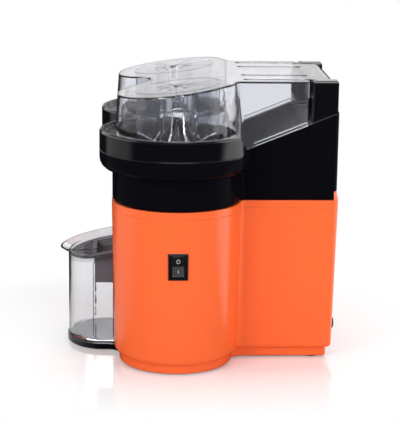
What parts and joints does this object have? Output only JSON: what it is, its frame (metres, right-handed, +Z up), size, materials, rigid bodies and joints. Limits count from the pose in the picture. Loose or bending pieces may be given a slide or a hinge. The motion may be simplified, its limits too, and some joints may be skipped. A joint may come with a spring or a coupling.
{
  "type": "citrus juicer",
  "caption": "Electric citrus juicer: ribbed reamers side by side under a hinged clear lid with pressers, a rocker switch on one side, and a clear cup with a strainer in front.",
  "frame": {"origin": "on the table, under the middle of the whole footprint", "axes": "+Z up, -Y towards the cup at the front, +X towards the side with the switch"},
  "size_m": [0.335, 0.3218, 0.325],
  "materials": {
    "orange_plastic": "gloss, moulded",
    "black_plastic": "gloss, moulded",
    "clear_plastic": "clear, moulded",
    "grey_plastic": "satin",
    "switch_plastic": "satin black",
    "rubber": "matte",
    "steel": "turned",
    "nylon": "satin",
    "bronze": "sintered"
  },
  "bodies": {
    "machine": {"base_plate": "orange_plastic", "lower_housing": "orange_plastic", "trim_ring": "orange_plastic", "upper_housing": "black_plastic", "juice_bowl": "black_plastic", "juice_spout": "black_plastic", "pulp_strainer_right": "black_plastic", "pulp_strainer_left": "black_plastic", "hinge_block_right": "black_plastic", "hinge_block_left": "black_plastic", "hinge_pins": "steel", "motor_body": "steel", "gear_plate": "nylon", "gear_cover": "nylon", "gear_axle": "steel", "switch_body": "switch_plastic", "cord_gland": "rubber", "cup_tray": "black_plastic", "shaft_bushes": "bronze", "shaft_seals": "rubber", "rubber_feet": "rubber", "base_screws": "steel", "gearbox_screws": "steel", "motor_screws": "steel"},
    "lid": {"lid": "clear_plastic", "presser_right": "clear_plastic", "presser_left": "clear_plastic", "presser_screws": "steel"},
    "drive_right": {"drive_shaft_right": "steel", "output_gear_right": "nylon", "reamer_right": "black_plastic"},
    "drive_left": {"drive_shaft_left": "steel", "output_gear_left": "nylon", "reamer_left": "black_plastic"},
    "cluster": {"cluster_gear": "nylon"},
    "motor_rotor": {"motor_shaft": "steel"},
    "rocker": {"switch_rocker": "switch_plastic"},
    "cup": {"juice_cup": "clear_plastic"},
    "cup_sieve": {"cup_strainer": "grey_plastic"}
  },
  "joints": [
    {"name": "lid_hinge", "type": "hinge", "parent": "machine", "child": "lid", "pos_m": [0, 0.14355, 0.3135], "axis": [-1, 0, 0], "range_deg": [0, 100]},
    {"name": "reamer_right_spin", "type": "hinge", "parent": "machine", "child": "drive_right", "pos_m": [0.08, -0.02544, 0.2], "axis": [0, 0, 1], "continuous": true},
    {"name": "reamer_left_spin", "type": "hinge", "parent": "machine", "child": "drive_left", "pos_m": [-0.08, -0.02544, 0.2], "axis": [0, 0, 1], "continuous": true},
    {"name": "cluster_spin", "type": "hinge", "parent": "machine", "child": "cluster", "pos_m": [0, -0.00529, 0.165], "axis": [0, 0, 1], "continuous": true},
    {"name": "motor_spin", "type": "hinge", "parent": "machine", "child": "motor_rotor", "pos_m": [0, 0.05671, 0.16], "axis": [0, 0, 1], "continuous": true},
    {"name": "switch_rock", "type": "hinge", "parent": "machine", "child": "rocker", "pos_m": [0.14767, -0.02544, 0.128], "axis": [0, 1, 0], "range_deg": [0, 18]},
    {"name": "cup_slide", "type": "slide", "parent": "machine", "child": "cup", "axis": [0, -1, 0], "range_m": [0, 0.12]},
    {"name": "sieve_lift", "type": "slide", "parent": "cup", "child": "cup_sieve", "axis": [0, 0, 1], "range_m": [0, 0.05]}
  ],
  "couplings": [
    {"joint": "reamer_left_spin", "follows": "reamer_right_spin", "ratio": 1},
    {"joint": "cluster_spin", "follows": "reamer_right_spin", "ratio": -2.3},
    {"joint": "motor_spin", "follows": "reamer_right_spin", "ratio": 7.8857}
  ]
}
